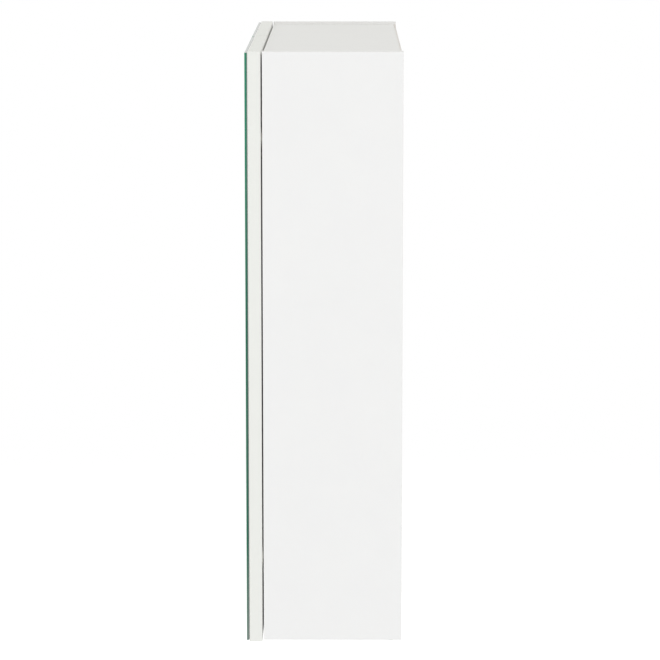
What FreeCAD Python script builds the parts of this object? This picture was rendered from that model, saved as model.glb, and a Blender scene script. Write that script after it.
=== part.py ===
import FreeCAD, Part
import math
import os

# A wall-hung mirror cabinet: a white board carcass with two mirror doors on concealed hinges
# and two glass shelves inside. Every size is in millimetres.
# X runs to the right, Y runs from the room into the wall and Z runs up. The wall is the plane y = 0
# and the origin lies midway between the two wall screw holes.

Vector = FreeCAD.Vector
UP = Vector(0, 0, 1)
ACROSS = Vector(1, 0, 0)
INTO_WALL = Vector(0, 1, 0)
TO_ROOM = Vector(0, -1, 0)

# Boards of the carcass
WIDTH = 600.0
HEIGHT = 718.0
DEPTH = 168.0
BOARD = 16.0
BAND = 2.0
EDGE_ROUND = 1.5
SIDE_ROUND = 0.6
PANEL_INSET = 3.0
FIT = 0.05

# Back panel, set between the sides and nailed to the rear edges of the top and the bottom
BACK = 3.0
BACK_DROP = 4.0
NAIL_COUNT = 5
NAIL_MARGIN = 40.0
NAIL_R = 0.7
NAIL_LENGTH = 19.0
NAIL_HEAD_R = 1.6
NAIL_HEAD = 0.6

# Hanging strip under the top panel
STRIP_HEIGHT = 60.0
WALL_HOLE_R = 3.0
WALL_HOLE_SPACING = 400.0
STRIP_DOWEL_SPACING = 30.0

# Cam fittings and dowels that hold the top and the bottom to the sides
CAM_R = 7.5
CAM_HEIGHT = 12.2
CAM_BACKSET = 24.0
CAM_EDGE = 40.0
CAM_SLOT = 1.6
CAM_SLOT_DEPTH = 1.5
BOLT_R = 3.4
BOLT_NECK_R = 2.0
BOLT_HEAD_R = 3.0
BOLT_HEAD = 3.0
BOLT_THREAD_R = 2.5
BOLT_THREAD = 10.0
CAM_CAP_R = 8.6
CAM_CAP = 1.0
CAM_CAP_ROUND = 0.4
DOWEL_R = 4.0
DOWEL_IN_PANEL = 20.0
DOWEL_IN_SIDE = 10.0
DOWEL_CHAMFER = 0.8
DOWEL_FROM_CAM = 32.0
BORE_END = 1.0

# Pads under the sides
PAD_R = 3.5
PAD_HEIGHT = 2.0
PAD_FROM_WALL = 13.0

# Rows of holes for the shelf pins and hinge plates
PITCH = 32.0
ROW_FROM_FRONT = 37.0
ROW_SPACING = 96.0
HINGE_PITCHES = 16
LOWER_SHELF_STEP = 5
UPPER_SHELF_STEP = 12
HOLES_EACH_WAY = 2
PIN_R = 2.5
PIN_IN_SIDE = 8.0
PIN_HOLE_DEPTH = 10.0

# Shelf pins and shelves
PIN_COLLAR_R = 4.6
PIN_COLLAR = 1.2
PIN_TONGUE_R = 3.8
PIN_TONGUE = 11.0
PIN_SEAT = 2.0
SHELF = 6.0
SHELF_DEPTH = 140.0
SHELF_END_GAP = 1.0
SHELF_BACK_GAP = 2.0
SHELF_ARRIS = 0.5

# Doors
DOOR_GAP = 1.6
DOOR_BOARD = 16.0
DOOR_OVERHANG = 2.0
DOOR_SPLIT = 3.0
FILM = 0.3
FILM_MARGIN = 12.0
MIRROR = 3.0
MIRROR_MARGIN = 1.5
MIRROR_ARRIS = 0.3
BUMPER_R = 4.0
BUMPER_CLEARANCE = 0.3
BUMPER_ROUND = 0.4
BUMPER_FROM_EDGE = 20.0

# Hinge cups
CUP_R = 17.5
CUP_EDGE = 3.0
CUP_DEPTH = 13.5
CUP_WALL = 0.7
CUP_FLOOR = 0.8
CUP_POCKET_HALF = 5.5
FLANGE = 0.7
FLANGE_RIM = 1.0
FLANGE_TRIM = 0.2
FLANGE_HALF_WIDTH = 5.5
CUP_SCREW_INSET = 9.5
CUP_SCREW_SPACING = 45.0
CUP_SCREW_R = 1.6
CUP_SCREW_LENGTH = 12.0
CUP_SCREW_HEAD_R = 3.5
CUP_SCREW_HEAD = 1.5

# Hinge arms, bent from one strip of steel, and the pins that they turn on
PIVOT_R = 1.0
PIVOT_HALF_LENGTH = 8.0
EYE_R = 1.8
EYE_CLEARANCE = 0.3
ARM_SHEET = 1.6
NECK_HALF_WIDTH = 4.4
NECK_DROP = 3.0
WEB_RISE = 10.8
WEB_SLOPE = 8.0
WEB_END = 70.0
WEB_HALF_WIDTH = 8.0
WEB_FLANGE = 7.0
WEB_FLANGE_SETBACK = 3.0

# Hinge plates
PLATE = 1.8
PLATE_HALF_LENGTH = 24.0
PLATE_SETBACK = 5.0
WING_HALF_WIDTH = 6.5
WING_HALF_SPAN = 26.0
RAIL_PLAY = 0.2
RAIL_HALF_LENGTH = 22.0
PLATE_SCREW_R = 2.5
PLATE_SCREW_LENGTH = 12.0
PLATE_SCREW_HEAD_R = 4.2
PLATE_SCREW_HEAD = 2.0
ARM_SCREW_R = 2.2
ARM_SCREW_LENGTH = 6.0
ARM_SCREW_HEAD_R = 3.5
ARM_SCREW_HEAD = 1.6
ARM_SCREW_SPACING = 28.0
RECESS_WIDTH = 0.9
RECESS_DEPTH = 0.8
RECESS_REACH_SHARE = 0.62

# Places worked out from the sizes above
HALF_WIDTH = WIDTH / 2
INNER_X = HALF_WIDTH - BOARD
FRONT_Y = -DEPTH
TOP_Z = STRIP_HEIGHT / 2 + BOARD + PANEL_INSET
BOTTOM_Z = TOP_Z - HEIGHT
MIDDLE_Z = (TOP_Z + BOTTOM_Z) / 2
PANEL_TOP_Z = TOP_Z - PANEL_INSET
PANEL_BOTTOM_Z = BOTTOM_Z + PANEL_INSET
CEILING_Z = PANEL_TOP_Z - BOARD
HINGE_LOW_Z = MIDDLE_Z - PITCH * HINGE_PITCHES / 2
HINGE_HIGH_Z = MIDDLE_Z + PITCH * HINGE_PITCHES / 2
ROW_START_Z = HINGE_LOW_Z - PITCH / 2
DOOR_BACK_Y = FRONT_Y - DOOR_GAP
DOOR_FRONT_Y = DOOR_BACK_Y - DOOR_BOARD
MIRROR_BACK_Y = DOOR_FRONT_Y - FILM
MIRROR_FRONT_Y = MIRROR_BACK_Y - MIRROR
DOOR_BOTTOM_Z = BOTTOM_Z - DOOR_OVERHANG
CUP_X = HALF_WIDTH - CUP_EDGE - CUP_R
POCKET_R = CUP_R - CUP_WALL
POCKET_REACH = math.sqrt(POCKET_R ** 2 - NECK_HALF_WIDTH ** 2)
PIVOT_X = CUP_X + POCKET_REACH - EYE_CLEARANCE - EYE_R
PIVOT_Y = DOOR_BACK_Y - CUP_DEPTH + CUP_FLOOR + EYE_CLEARANCE + EYE_R
WEB_X = INNER_X - WEB_RISE
PLATE_Y = FRONT_Y + ROW_FROM_FRONT


def block(x, y, z):
    """A box between the low and high ends given on each axis."""
    return Part.makeBox(x[1] - x[0], y[1] - y[0], z[1] - z[0], Vector(x[0], y[0], z[0]))


def rod(start, direction, length, radius):
    """A round bar from a start point along a direction."""
    return Part.makeCylinder(radius, length, start, direction)


def edges_in_plane(shape, axis, place):
    """The edges of a shape that lie flat in the plane where the axis has this value."""
    low, high = axis + "Min", axis + "Max"
    found = []
    for edge in shape.Edges:
        bounds = edge.BoundBox
        if abs(getattr(bounds, low) - place) < FIT and abs(getattr(bounds, high) - place) < FIT:
            found.append(edge)
    return found


def mirrored(shape):
    """The same shape at the cabinet's other side."""
    return shape.mirror(Vector(0, 0, 0), ACROSS)


def raised(shape, height):
    """A copy of the shape, moved up."""
    return shape.translated(UP * height)


def screw(place, direction, head_r, head, shank_r, length):
    """A cross-headed screw whose head stands on the place and whose shank points along the direction."""
    cap = Part.makeCylinder(head_r, head, Vector(0, 0, -head), UP)
    cap = cap.makeChamfer(head / 2, edges_in_plane(cap, "Z", -head))
    shape = cap.fuse(Part.makeCylinder(shank_r, length, Vector(0, 0, 0), UP))
    reach = head_r * RECESS_REACH_SHARE
    half = RECESS_WIDTH / 2
    depth = (-head, -head + RECESS_DEPTH)
    shape = shape.cut(block((-reach, reach), (-half, half), depth))
    shape = shape.cut(block((-half, half), (-reach, reach), depth))
    shape.Placement = FreeCAD.Placement(place, FreeCAD.Rotation(UP, direction))
    return shape


def banded(full, core_x, core_y, core_z):
    """Splits a rounded board into its core and the band that is glued round its edges."""
    core = block(core_x, core_y, core_z)
    return full.common(core), full.cut(core)


def cam_places():
    """The Y places of the cam fittings, front and rear."""
    return FRONT_Y + CAM_EDGE, -CAM_EDGE


def dowel_places():
    """The Y places of the dowels beside the cam fittings."""
    return FRONT_Y + CAM_EDGE + DOWEL_FROM_CAM, -CAM_EDGE - DOWEL_FROM_CAM


def panel_levels():
    """The middle height of the top and bottom panels, with +1 where the cams open downwards."""
    return (PANEL_TOP_Z - BOARD / 2, 1), (PANEL_BOTTOM_Z + BOARD / 2, -1)


def strip_dowel_points():
    """The Y and Z places of the dowels at each end of the hanging strip."""
    middle = -BACK - BOARD / 2
    return [(middle, sign * STRIP_DOWEL_SPACING / 2) for sign in (-1, 1)]


def wall_hole_places():
    """The X places of the two wall screws."""
    return -WALL_HOLE_SPACING / 2, WALL_HOLE_SPACING / 2


def nail_places():
    """The X places of the nails along one edge of the back panel."""
    first = NAIL_MARGIN - INNER_X
    step = -2 * first / (NAIL_COUNT - 1)
    return [first + step * index for index in range(NAIL_COUNT)]


def pin_rows():
    """The Y places of the two rows of shelf holes."""
    return PLATE_Y, PLATE_Y + ROW_SPACING


def shelf_level(step):
    """The height of a hole in the rows, counted in pitches from the lowest hinge screw."""
    return ROW_START_Z + PITCH * step


def dowel(y, z):
    """A wooden dowel between the right side and the panel beside it."""
    length = DOWEL_IN_PANEL + DOWEL_IN_SIDE
    shape = rod(Vector(INNER_X - DOWEL_IN_PANEL, y, z), ACROSS, length, DOWEL_R)
    ends = edges_in_plane(shape, "X", INNER_X - DOWEL_IN_PANEL)
    ends += edges_in_plane(shape, "X", INNER_X + DOWEL_IN_SIDE)
    return shape.makeChamfer(DOWEL_CHAMFER, ends)


def dowel_bores(y, z):
    """The pair of holes, in one bar, that a dowel fills."""
    length = DOWEL_IN_PANEL + DOWEL_IN_SIDE + 2 * BORE_END
    start = Vector(INNER_X - DOWEL_IN_PANEL - BORE_END, y, z)
    return rod(start, ACROSS, length, DOWEL_R + FIT)


def cam_bolt(y, z):
    """A steel bolt screwed into the right side, with its head in the cam."""
    cam_x = INNER_X - CAM_BACKSET
    shank_start = cam_x + CAM_R + BORE_END
    thread = rod(Vector(INNER_X, y, z), ACROSS, BOLT_THREAD, BOLT_THREAD_R)
    shank = rod(Vector(shank_start, y, z), ACROSS, INNER_X - shank_start, BOLT_R)
    neck = rod(Vector(cam_x, y, z), ACROSS, shank_start - cam_x, BOLT_NECK_R)
    head = rod(Vector(cam_x - BOLT_HEAD / 2, y, z), ACROSS, BOLT_HEAD, BOLT_HEAD_R)
    return thread.fuse(shank).fuse(neck).fuse(head)


def cam_bolt_bores(y, z):
    """The holes for a cam bolt, in the side and in the panel's end."""
    thread = rod(Vector(INNER_X, y, z), ACROSS, BOLT_THREAD + BORE_END, BOLT_THREAD_R + FIT)
    shank = rod(Vector(INNER_X - CAM_BACKSET, y, z), ACROSS, CAM_BACKSET, BOLT_R + FIT)
    return thread.fuse(shank)


def cam_span(z, turn):
    """The start height of a cam at the panel's inner face, and its direction into the board."""
    return z - turn * BOARD / 2, UP * turn


def cam_lock(y, z, turn):
    """A round zinc cam that pulls the bolt's head in."""
    face, inward = cam_span(z, turn)
    cam_x = INNER_X - CAM_BACKSET
    shape = rod(Vector(cam_x, y, face), inward, CAM_HEIGHT, CAM_R)
    reach = CAM_R * RECESS_REACH_SHARE
    half = CAM_SLOT / 2
    depth = sorted((face, face + turn * CAM_SLOT_DEPTH))
    shape = shape.cut(block((cam_x - reach, cam_x + reach), (y - half, y + half), depth))
    shape = shape.cut(block((cam_x - half, cam_x + half), (y - reach, y + reach), depth))
    cavity = rod(Vector(cam_x - BOLT_HEAD, y, z), ACROSS, BOLT_HEAD + CAM_R, BOLT_R + FIT)
    return shape.cut(cavity)


def cam_bore(y, z, turn):
    """The round hole for a cam in a panel's inner face."""
    face, inward = cam_span(z, turn)
    return rod(Vector(INNER_X - CAM_BACKSET, y, face), inward, CAM_HEIGHT + FIT, CAM_R + FIT)


def cam_cap(y, z, turn):
    """A plastic cap that hides a cam."""
    face, inward = cam_span(z, turn)
    start = Vector(INNER_X - CAM_BACKSET, y, face)
    shape = rod(start, inward * -1, CAM_CAP, CAM_CAP_R)
    return shape.makeFillet(CAM_CAP_ROUND, edges_in_plane(shape, "Z", face - turn * CAM_CAP))


def side_fittings():
    """Everything that is bored out of the right side, as one list of tools."""
    tools = []
    for z, turn in panel_levels():
        tools += [cam_bolt_bores(y, z) for y in cam_places()]
        tools += [dowel_bores(y, z) for y in dowel_places()]
    tools += [dowel_bores(y, z) for y, z in strip_dowel_points()]
    for shelf_step in (LOWER_SHELF_STEP, UPPER_SHELF_STEP):
        for offset in range(-HOLES_EACH_WAY, HOLES_EACH_WAY + 1):
            z = shelf_level(shelf_step + offset)
            for y in pin_rows():
                tools.append(rod(Vector(INNER_X, y, z), ACROSS, PIN_HOLE_DEPTH, PIN_R + FIT))
    for hinge_z in (HINGE_LOW_Z, HINGE_HIGH_Z):
        for sign in (-1, 1):
            place = Vector(INNER_X, PLATE_Y, hinge_z + sign * PITCH / 2)
            tools.append(rod(place, ACROSS, PLATE_SCREW_LENGTH, PLATE_SCREW_R + FIT))
    return tools


def right_side():
    """The right side board and its edge band."""
    full = block((INNER_X, HALF_WIDTH), (FRONT_Y, 0), (BOTTOM_Z, TOP_Z))
    edges = edges_in_plane(full, "X", HALF_WIDTH)
    edges += [edge for edge in edges_in_plane(full, "X", INNER_X) if edge.BoundBox.YMax < FRONT_Y + FIT]
    full = full.makeFillet(SIDE_ROUND, edges)
    core, band = banded(full, (INNER_X, HALF_WIDTH), (FRONT_Y + BAND, -BAND),
                        (BOTTOM_Z + BAND, TOP_Z - BAND))
    return core.cut(side_fittings()), band


def panel(z, turn):
    """The top or the bottom board, between the sides, and the band on its front edge."""
    span = (z - BOARD / 2, z + BOARD / 2)
    full = block((-INNER_X, INNER_X), (FRONT_Y, -BACK), span)
    full = full.makeFillet(EDGE_ROUND, long_front_edges(full))
    core, band = banded(full, (-INNER_X, INNER_X), (FRONT_Y + BAND, -BACK), span)
    tools = []
    for y in cam_places():
        tools += [cam_bore(y, z, turn), cam_bolt_bores(y, z)]
    tools += [dowel_bores(y, z) for y in dowel_places()]
    tools += [mirrored(tool) for tool in tools]
    for x in nail_places():
        tools.append(rod(Vector(x, 0, z), TO_ROOM, NAIL_LENGTH + BORE_END, NAIL_R + FIT))
    return core.cut(tools), band


def long_front_edges(full):
    """The two long front edges of a panel."""
    edges = edges_in_plane(full, "Y", FRONT_Y)
    return [edge for edge in edges if edge.BoundBox.XLength > BOARD]


def back_panel():
    """The thin back board, holed for the wall screws and the nails."""
    height = (PANEL_BOTTOM_Z + BACK_DROP, PANEL_TOP_Z - BACK_DROP)
    shape = block((-INNER_X, INNER_X), (-BACK, 0), height)
    tools = [rod(Vector(x, 0, 0), TO_ROOM, BACK, WALL_HOLE_R) for x in wall_hole_places()]
    for z, _ in panel_levels():
        for x in nail_places():
            tools.append(rod(Vector(x, 0, z), TO_ROOM, BACK, NAIL_R + FIT))
            tools.append(rod(Vector(x, 0, z), TO_ROOM, NAIL_HEAD, NAIL_HEAD_R + FIT))
    return shape.cut(tools)


def nails():
    """The nails that hold the back panel."""
    solids = []
    for z, _ in panel_levels():
        for x in nail_places():
            head = rod(Vector(x, 0, z), TO_ROOM, NAIL_HEAD, NAIL_HEAD_R)
            solids.append(head.fuse(rod(Vector(x, 0, z), TO_ROOM, NAIL_LENGTH, NAIL_R)))
    return solids


def hanging_strip():
    """The board that the wall screws pass through."""
    shape = block((-INNER_X, INNER_X), (-BACK - BOARD, -BACK), (CEILING_Z - STRIP_HEIGHT, CEILING_Z))
    tools = [rod(Vector(x, -BACK, 0), TO_ROOM, BOARD, WALL_HOLE_R) for x in wall_hole_places()]
    bores = [dowel_bores(y, z) for y, z in strip_dowel_points()]
    return shape.cut(tools + bores + [mirrored(bore) for bore in bores])


def shelf_pin(y, z):
    """A shelf pin in the right side, cut flat where the shelf sits."""
    barrel = rod(Vector(INNER_X, y, z), ACROSS, PIN_IN_SIDE, PIN_R)
    collar = rod(Vector(INNER_X - PIN_COLLAR, y, z), ACROSS, PIN_COLLAR, PIN_COLLAR_R)
    tongue = rod(Vector(INNER_X - PIN_TONGUE, y, z), ACROSS, PIN_TONGUE, PIN_TONGUE_R)
    above = block((INNER_X - PIN_TONGUE, INNER_X), (y - PIN_COLLAR_R, y + PIN_COLLAR_R),
                  (z + PIN_SEAT, z + PIN_COLLAR_R))
    return collar.fuse(tongue).cut(above).fuse(barrel)


def shelf(step):
    """A glass shelf that lies on the four pins at this step of the rows."""
    reach = INNER_X - SHELF_END_GAP
    rear = -BACK - SHELF_BACK_GAP
    seat = shelf_level(step) + PIN_SEAT
    shape = block((-reach, reach), (rear - SHELF_DEPTH, rear), (seat, seat + SHELF))
    edges = edges_in_plane(shape, "Z", seat) + edges_in_plane(shape, "Z", seat + SHELF)
    return shape.makeChamfer(SHELF_ARRIS, edges)


def bottom_pad():
    """A small plastic pad under the rear end of the right side."""
    start = Vector(INNER_X + BOARD / 2, -PAD_FROM_WALL, BOTTOM_Z)
    return rod(start, UP * -1, PAD_HEIGHT, PAD_R)


def cup_screw_places(hinge_z):
    """The places on the flange of the two screws of a hinge cup."""
    x = CUP_X - CUP_SCREW_INSET
    y = DOOR_BACK_Y + FLANGE
    return [Vector(x, y, hinge_z + sign * CUP_SCREW_SPACING / 2) for sign in (-1, 1)]


def right_door():
    """The right door board, bored for its hinges, and its edge band."""
    inner_x = DOOR_SPLIT / 2
    full = block((inner_x, HALF_WIDTH), (DOOR_FRONT_Y, DOOR_BACK_Y), (DOOR_BOTTOM_Z, TOP_Z))
    edges = edges_in_plane(full, "Y", DOOR_FRONT_Y) + edges_in_plane(full, "Y", DOOR_BACK_Y)
    full = full.makeFillet(EDGE_ROUND, edges)
    core, band = banded(full, (inner_x + BAND, HALF_WIDTH - BAND), (DOOR_FRONT_Y, DOOR_BACK_Y),
                        (DOOR_BOTTOM_Z + BAND, TOP_Z - BAND))
    tools = []
    for hinge_z in (HINGE_LOW_Z, HINGE_HIGH_Z):
        tools.append(rod(Vector(CUP_X, DOOR_BACK_Y, hinge_z), TO_ROOM, CUP_DEPTH + FIT, CUP_R + FIT))
        for place in cup_screw_places(hinge_z):
            tools.append(rod(place, TO_ROOM, CUP_SCREW_LENGTH + FIT, CUP_SCREW_R + FIT))
    return core.cut(tools), band


def door_layer(front_y, back_y, margin):
    """A flat sheet on the front of the right door, in from the board's edges by a margin."""
    return block((DOOR_SPLIT / 2 + margin, HALF_WIDTH - margin), (front_y, back_y),
                 (DOOR_BOTTOM_Z + margin, TOP_Z - margin))


def mirror_glass():
    """The mirror of the right door, with its front edges ground off a little."""
    glass = door_layer(MIRROR_FRONT_Y, MIRROR_BACK_Y, MIRROR_MARGIN)
    return glass.makeChamfer(MIRROR_ARRIS, edges_in_plane(glass, "Y", MIRROR_FRONT_Y))


def bumper(z):
    """A soft stop on the back of the right door, near its free edge."""
    start = Vector(DOOR_SPLIT / 2 + BUMPER_FROM_EDGE, DOOR_BACK_Y, z)
    shape = rod(start, INTO_WALL, DOOR_GAP - BUMPER_CLEARANCE, BUMPER_R)
    tip = edges_in_plane(shape, "Y", FRONT_Y - BUMPER_CLEARANCE)
    return shape.makeFillet(BUMPER_ROUND, tip)


def hinge_cup():
    """The steel cup let into the right door, at height zero, with the slot that the arm swings in."""
    flange_y = DOOR_BACK_Y + FLANGE
    depth = CUP_DEPTH - CUP_FLOOR
    cup = rod(Vector(CUP_X, DOOR_BACK_Y, 0), TO_ROOM, CUP_DEPTH, CUP_R)
    rim = rod(Vector(CUP_X, DOOR_BACK_Y, 0), INTO_WALL, FLANGE, CUP_R + FLANGE_RIM)
    shape = cup.fuse(rim)
    screw_x = CUP_X - CUP_SCREW_INSET
    half_span = CUP_SCREW_SPACING / 2
    wing = block((screw_x - FLANGE_HALF_WIDTH, screw_x + FLANGE_HALF_WIDTH), (DOOR_BACK_Y, flange_y),
                 (-half_span, half_span))
    shape = shape.fuse(wing)
    for place in cup_screw_places(0):
        start = Vector(place.x, DOOR_BACK_Y, place.z)
        shape = shape.fuse(rod(start, INTO_WALL, FLANGE, FLANGE_HALF_WIDTH))
    pocket = rod(Vector(CUP_X, flange_y, 0), TO_ROOM, FLANGE + depth, POCKET_R)
    slot = block((CUP_X - CUP_R, CUP_X + CUP_R), (DOOR_BACK_Y - depth, flange_y),
                 (-CUP_POCKET_HALF, CUP_POCKET_HALF))
    shape = shape.cut(pocket.common(slot))
    trim_x = CUP_X + CUP_R - FLANGE_TRIM
    trim_z = CUP_R + FLANGE_RIM
    shape = shape.cut(block((trim_x, CUP_X + trim_z), (DOOR_BACK_Y, flange_y), (-trim_z, trim_z)))
    holes = [rod(place, TO_ROOM, FLANGE, CUP_SCREW_R + FIT) for place in cup_screw_places(0)]
    holes.append(pivot(PIVOT_R + FIT))
    return shape.cut(holes)


def pivot(radius):
    """A bar on the hinge's axis, from cheek to cheek of the cup, at height zero."""
    start = Vector(PIVOT_X, PIVOT_Y, -PIVOT_HALF_LENGTH)
    return rod(start, UP, 2 * PIVOT_HALF_LENGTH, radius)


def bent_strip(points, half_width):
    """A strip of the arm's sheet that follows points in plan, rounded at each bend."""
    half = ARM_SHEET / 2
    height = UP * (2 * half_width)
    low = UP * -half_width
    shape = None
    for start, end in zip(points, points[1:]):
        along = (end - start).normalize()
        side = Vector(-along.y, along.x, 0) * half
        corners = [start + side, end + side, end - side, start - side, start + side]
        run = Part.Face(Part.makePolygon([corner + low for corner in corners])).extrude(height)
        shape = run if shape is None else shape.fuse(run)
    for bend in points[1:-1]:
        shape = shape.fuse(Part.makeCylinder(half, 2 * half_width, bend + low, UP))
    return shape


def arm_screw_places():
    """The places on the arm's web of its front and rear screws, at height zero."""
    x = WEB_X - ARM_SHEET / 2
    return [Vector(x, PLATE_Y + sign * ARM_SCREW_SPACING / 2, 0) for sign in (-1, 1)]


def hinge_arm():
    """The right door's cranked arm, at height zero: an eye on the pivot, a neck and a channel."""
    neck_x = CUP_X
    drop_y = FRONT_Y + NECK_DROP
    web_y = drop_y + WEB_SLOPE
    points = [Vector(PIVOT_X, PIVOT_Y, 0), Vector(neck_x, PIVOT_Y, 0), Vector(neck_x, drop_y, 0),
              Vector(WEB_X, web_y, 0), Vector(WEB_X, web_y + ARM_SHEET, 0)]
    eye_start = Vector(PIVOT_X, PIVOT_Y, -NECK_HALF_WIDTH)
    shape = bent_strip(points, NECK_HALF_WIDTH).fuse(rod(eye_start, UP, 2 * NECK_HALF_WIDTH, EYE_R))
    half = ARM_SHEET / 2
    end_y = FRONT_Y + WEB_END
    web = block((WEB_X - half, WEB_X + half), (web_y, end_y), (-WEB_HALF_WIDTH, WEB_HALF_WIDTH))
    shape = shape.fuse(web)
    for sign in (-1, 1):
        span = sorted((sign * WEB_HALF_WIDTH, sign * (WEB_HALF_WIDTH - ARM_SHEET)))
        flange_y = web_y + WEB_FLANGE_SETBACK
        shape = shape.fuse(block((WEB_X - half, WEB_X + WEB_FLANGE), (flange_y, end_y), span))
    tools = [pivot(PIVOT_R + FIT)]
    tools += [rod(place, ACROSS, ARM_SHEET, ARM_SCREW_R + FIT) for place in arm_screw_places()]
    return shape.cut(tools)


def hinge_plate():
    """The plate on the right side that carries an arm, at height zero."""
    face = (INNER_X - PLATE, INNER_X)
    middle = PLATE_Y + PLATE_SETBACK
    base = block(face, (middle - PLATE_HALF_LENGTH, middle + PLATE_HALF_LENGTH),
                 (-WEB_HALF_WIDTH, WEB_HALF_WIDTH))
    end = WING_HALF_SPAN - WING_HALF_WIDTH
    wing = block(face, (PLATE_Y - WING_HALF_WIDTH, PLATE_Y + WING_HALF_WIDTH), (-end, end))
    shape = base.fuse(wing)
    for sign in (-1, 1):
        start = Vector(INNER_X - PLATE, PLATE_Y, sign * end)
        shape = shape.fuse(rod(start, ACROSS, PLATE, WING_HALF_WIDTH))
    half = WEB_HALF_WIDTH - ARM_SHEET - RAIL_PLAY
    rail = block((WEB_X + ARM_SHEET / 2, INNER_X - PLATE),
                 (middle - RAIL_HALF_LENGTH, middle + RAIL_HALF_LENGTH), (-half, half))
    shape = shape.fuse(rail)
    tools = [rod(place, ACROSS, ARM_SCREW_LENGTH + FIT, ARM_SCREW_R + FIT) for place in arm_screw_places()]
    for place in plate_screw_places(0):
        tools.append(rod(place, ACROSS, PLATE, PLATE_SCREW_R + FIT))
    return shape.cut(tools)


def plate_screw_places(hinge_z):
    """The places on the plate's wings of its two screws."""
    x = INNER_X - PLATE
    return [Vector(x, PLATE_Y, hinge_z + sign * PITCH / 2) for sign in (-1, 1)]


def both_sides(solids):
    """The solids and their mirror images, as one group."""
    return Part.makeCompound(solids + [mirrored(solid) for solid in solids])


def carcass_nodes():
    """The boards of the carcass and what fastens them."""
    side, side_band = right_side()
    (top, top_band), (bottom, bottom_band) = [panel(z, turn) for z, turn in panel_levels()]
    levels = panel_levels()
    cams = [(y, z, turn) for z, turn in levels for y in cam_places()]
    dowels = [dowel(y, z) for z, _ in levels for y in dowel_places()]
    dowels += [dowel(y, z) for y, z in strip_dowel_points()]
    return {
        "side_right": side,
        "side_left": mirrored(side),
        "side_band_right": side_band,
        "side_band_left": mirrored(side_band),
        "top_panel": top,
        "bottom_panel": bottom,
        "panel_bands": Part.makeCompound([top_band, bottom_band]),
        "back_panel": back_panel(),
        "back_nails": Part.makeCompound(nails()),
        "hanging_strip": hanging_strip(),
        "cam_locks": both_sides([cam_lock(*cam) for cam in cams]),
        "cam_bolts": both_sides([cam_bolt(y, z) for y, z, _ in cams]),
        "cam_caps": both_sides([cam_cap(*cam) for cam in cams]),
        "dowels": both_sides(dowels),
        "bottom_pads": both_sides([bottom_pad()]),
    }


def shelf_nodes():
    """The glass shelves and their pins."""
    nodes = {}
    for name, step in (("lower", LOWER_SHELF_STEP), ("upper", UPPER_SHELF_STEP)):
        pins = [shelf_pin(y, shelf_level(step)) for y in pin_rows()]
        nodes["shelf_pins_" + name] = both_sides(pins)
        nodes["shelf_" + name] = shelf(step)
    return nodes


def door_nodes():
    """The door boards with their mirrors and bumpers."""
    board, band = right_door()
    right = {
        "door_board": board,
        "door_band": band,
        "mirror_film": door_layer(MIRROR_BACK_Y, DOOR_FRONT_Y, FILM_MARGIN),
        "mirror": mirror_glass(),
        "door_bumpers": Part.makeCompound([bumper(z) for z, _ in panel_levels()]),
    }
    nodes = {}
    for name, shape in right.items():
        nodes[name + "_right"] = shape
        nodes[name + "_left"] = mirrored(shape)
    return nodes


def hinge_nodes():
    """The four hinges, each as a cup, an arm and a plate, and their pins and screws."""
    nodes = {}
    heights = {"lower": HINGE_LOW_Z, "upper": HINGE_HIGH_Z}
    pieces = {"hinge_cup": hinge_cup(), "hinge_arm": hinge_arm(), "hinge_plate": hinge_plate()}
    for level, z in heights.items():
        for name, shape in pieces.items():
            nodes[name + "_right_" + level] = raised(shape, z)
            nodes[name + "_left_" + level] = mirrored(raised(shape, z))
    pins = Part.makeCompound([raised(pivot(PIVOT_R), z) for z in heights.values()])
    cup_screws = []
    plate_screws = []
    arm_screws = []
    for z in heights.values():
        for place in cup_screw_places(z):
            cup_screws.append(screw(place, TO_ROOM, CUP_SCREW_HEAD_R, CUP_SCREW_HEAD,
                                    CUP_SCREW_R, CUP_SCREW_LENGTH))
        for place in plate_screw_places(z):
            plate_screws.append(screw(place, ACROSS, PLATE_SCREW_HEAD_R, PLATE_SCREW_HEAD,
                                      PLATE_SCREW_R, PLATE_SCREW_LENGTH))
        for place in arm_screw_places():
            arm_screws.append(screw(place + UP * z, ACROSS, ARM_SCREW_HEAD_R, ARM_SCREW_HEAD,
                                    ARM_SCREW_R, ARM_SCREW_LENGTH))
    nodes["hinge_pins_right"] = pins
    nodes["hinge_pins_left"] = mirrored(pins)
    nodes["cup_screws_right"] = Part.makeCompound(cup_screws)
    nodes["cup_screws_left"] = mirrored(Part.makeCompound(cup_screws))
    nodes["plate_screws"] = both_sides(plate_screws)
    nodes["arm_screws"] = both_sides(arm_screws)
    return nodes


def main():
    """Builds every piece, writes one file each and prints the places that the joints need."""
    nodes = {}
    for group in (carcass_nodes(), shelf_nodes(), door_nodes(), hinge_nodes()):
        nodes.update(group)
    os.makedirs("parts", exist_ok=True)
    for name, shape in nodes.items():
        shape.exportStep(os.path.join("parts", name + ".step"))
    print(len(nodes), "pieces; right pivot at x", round(PIVOT_X, 3), "y", round(PIVOT_Y, 3))
    print("hinges at z", HINGE_LOW_Z, HINGE_HIGH_Z, "shelf seats at z",
          shelf_level(LOWER_SHELF_STEP) + PIN_SEAT, shelf_level(UPPER_SHELF_STEP) + PIN_SEAT)


main()
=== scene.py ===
# %% [markdown]
# # A mirror cabinet, dressed in Blender
# The cabinet is a white chipboard box that hangs on a wall. Two doors with glued-on mirrors close it,
# on concealed cup hinges, and two glass shelves lie inside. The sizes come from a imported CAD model,
# and this lesson adds what CAD leaves out: finishes, polished edges, pressed metal and light.

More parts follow.
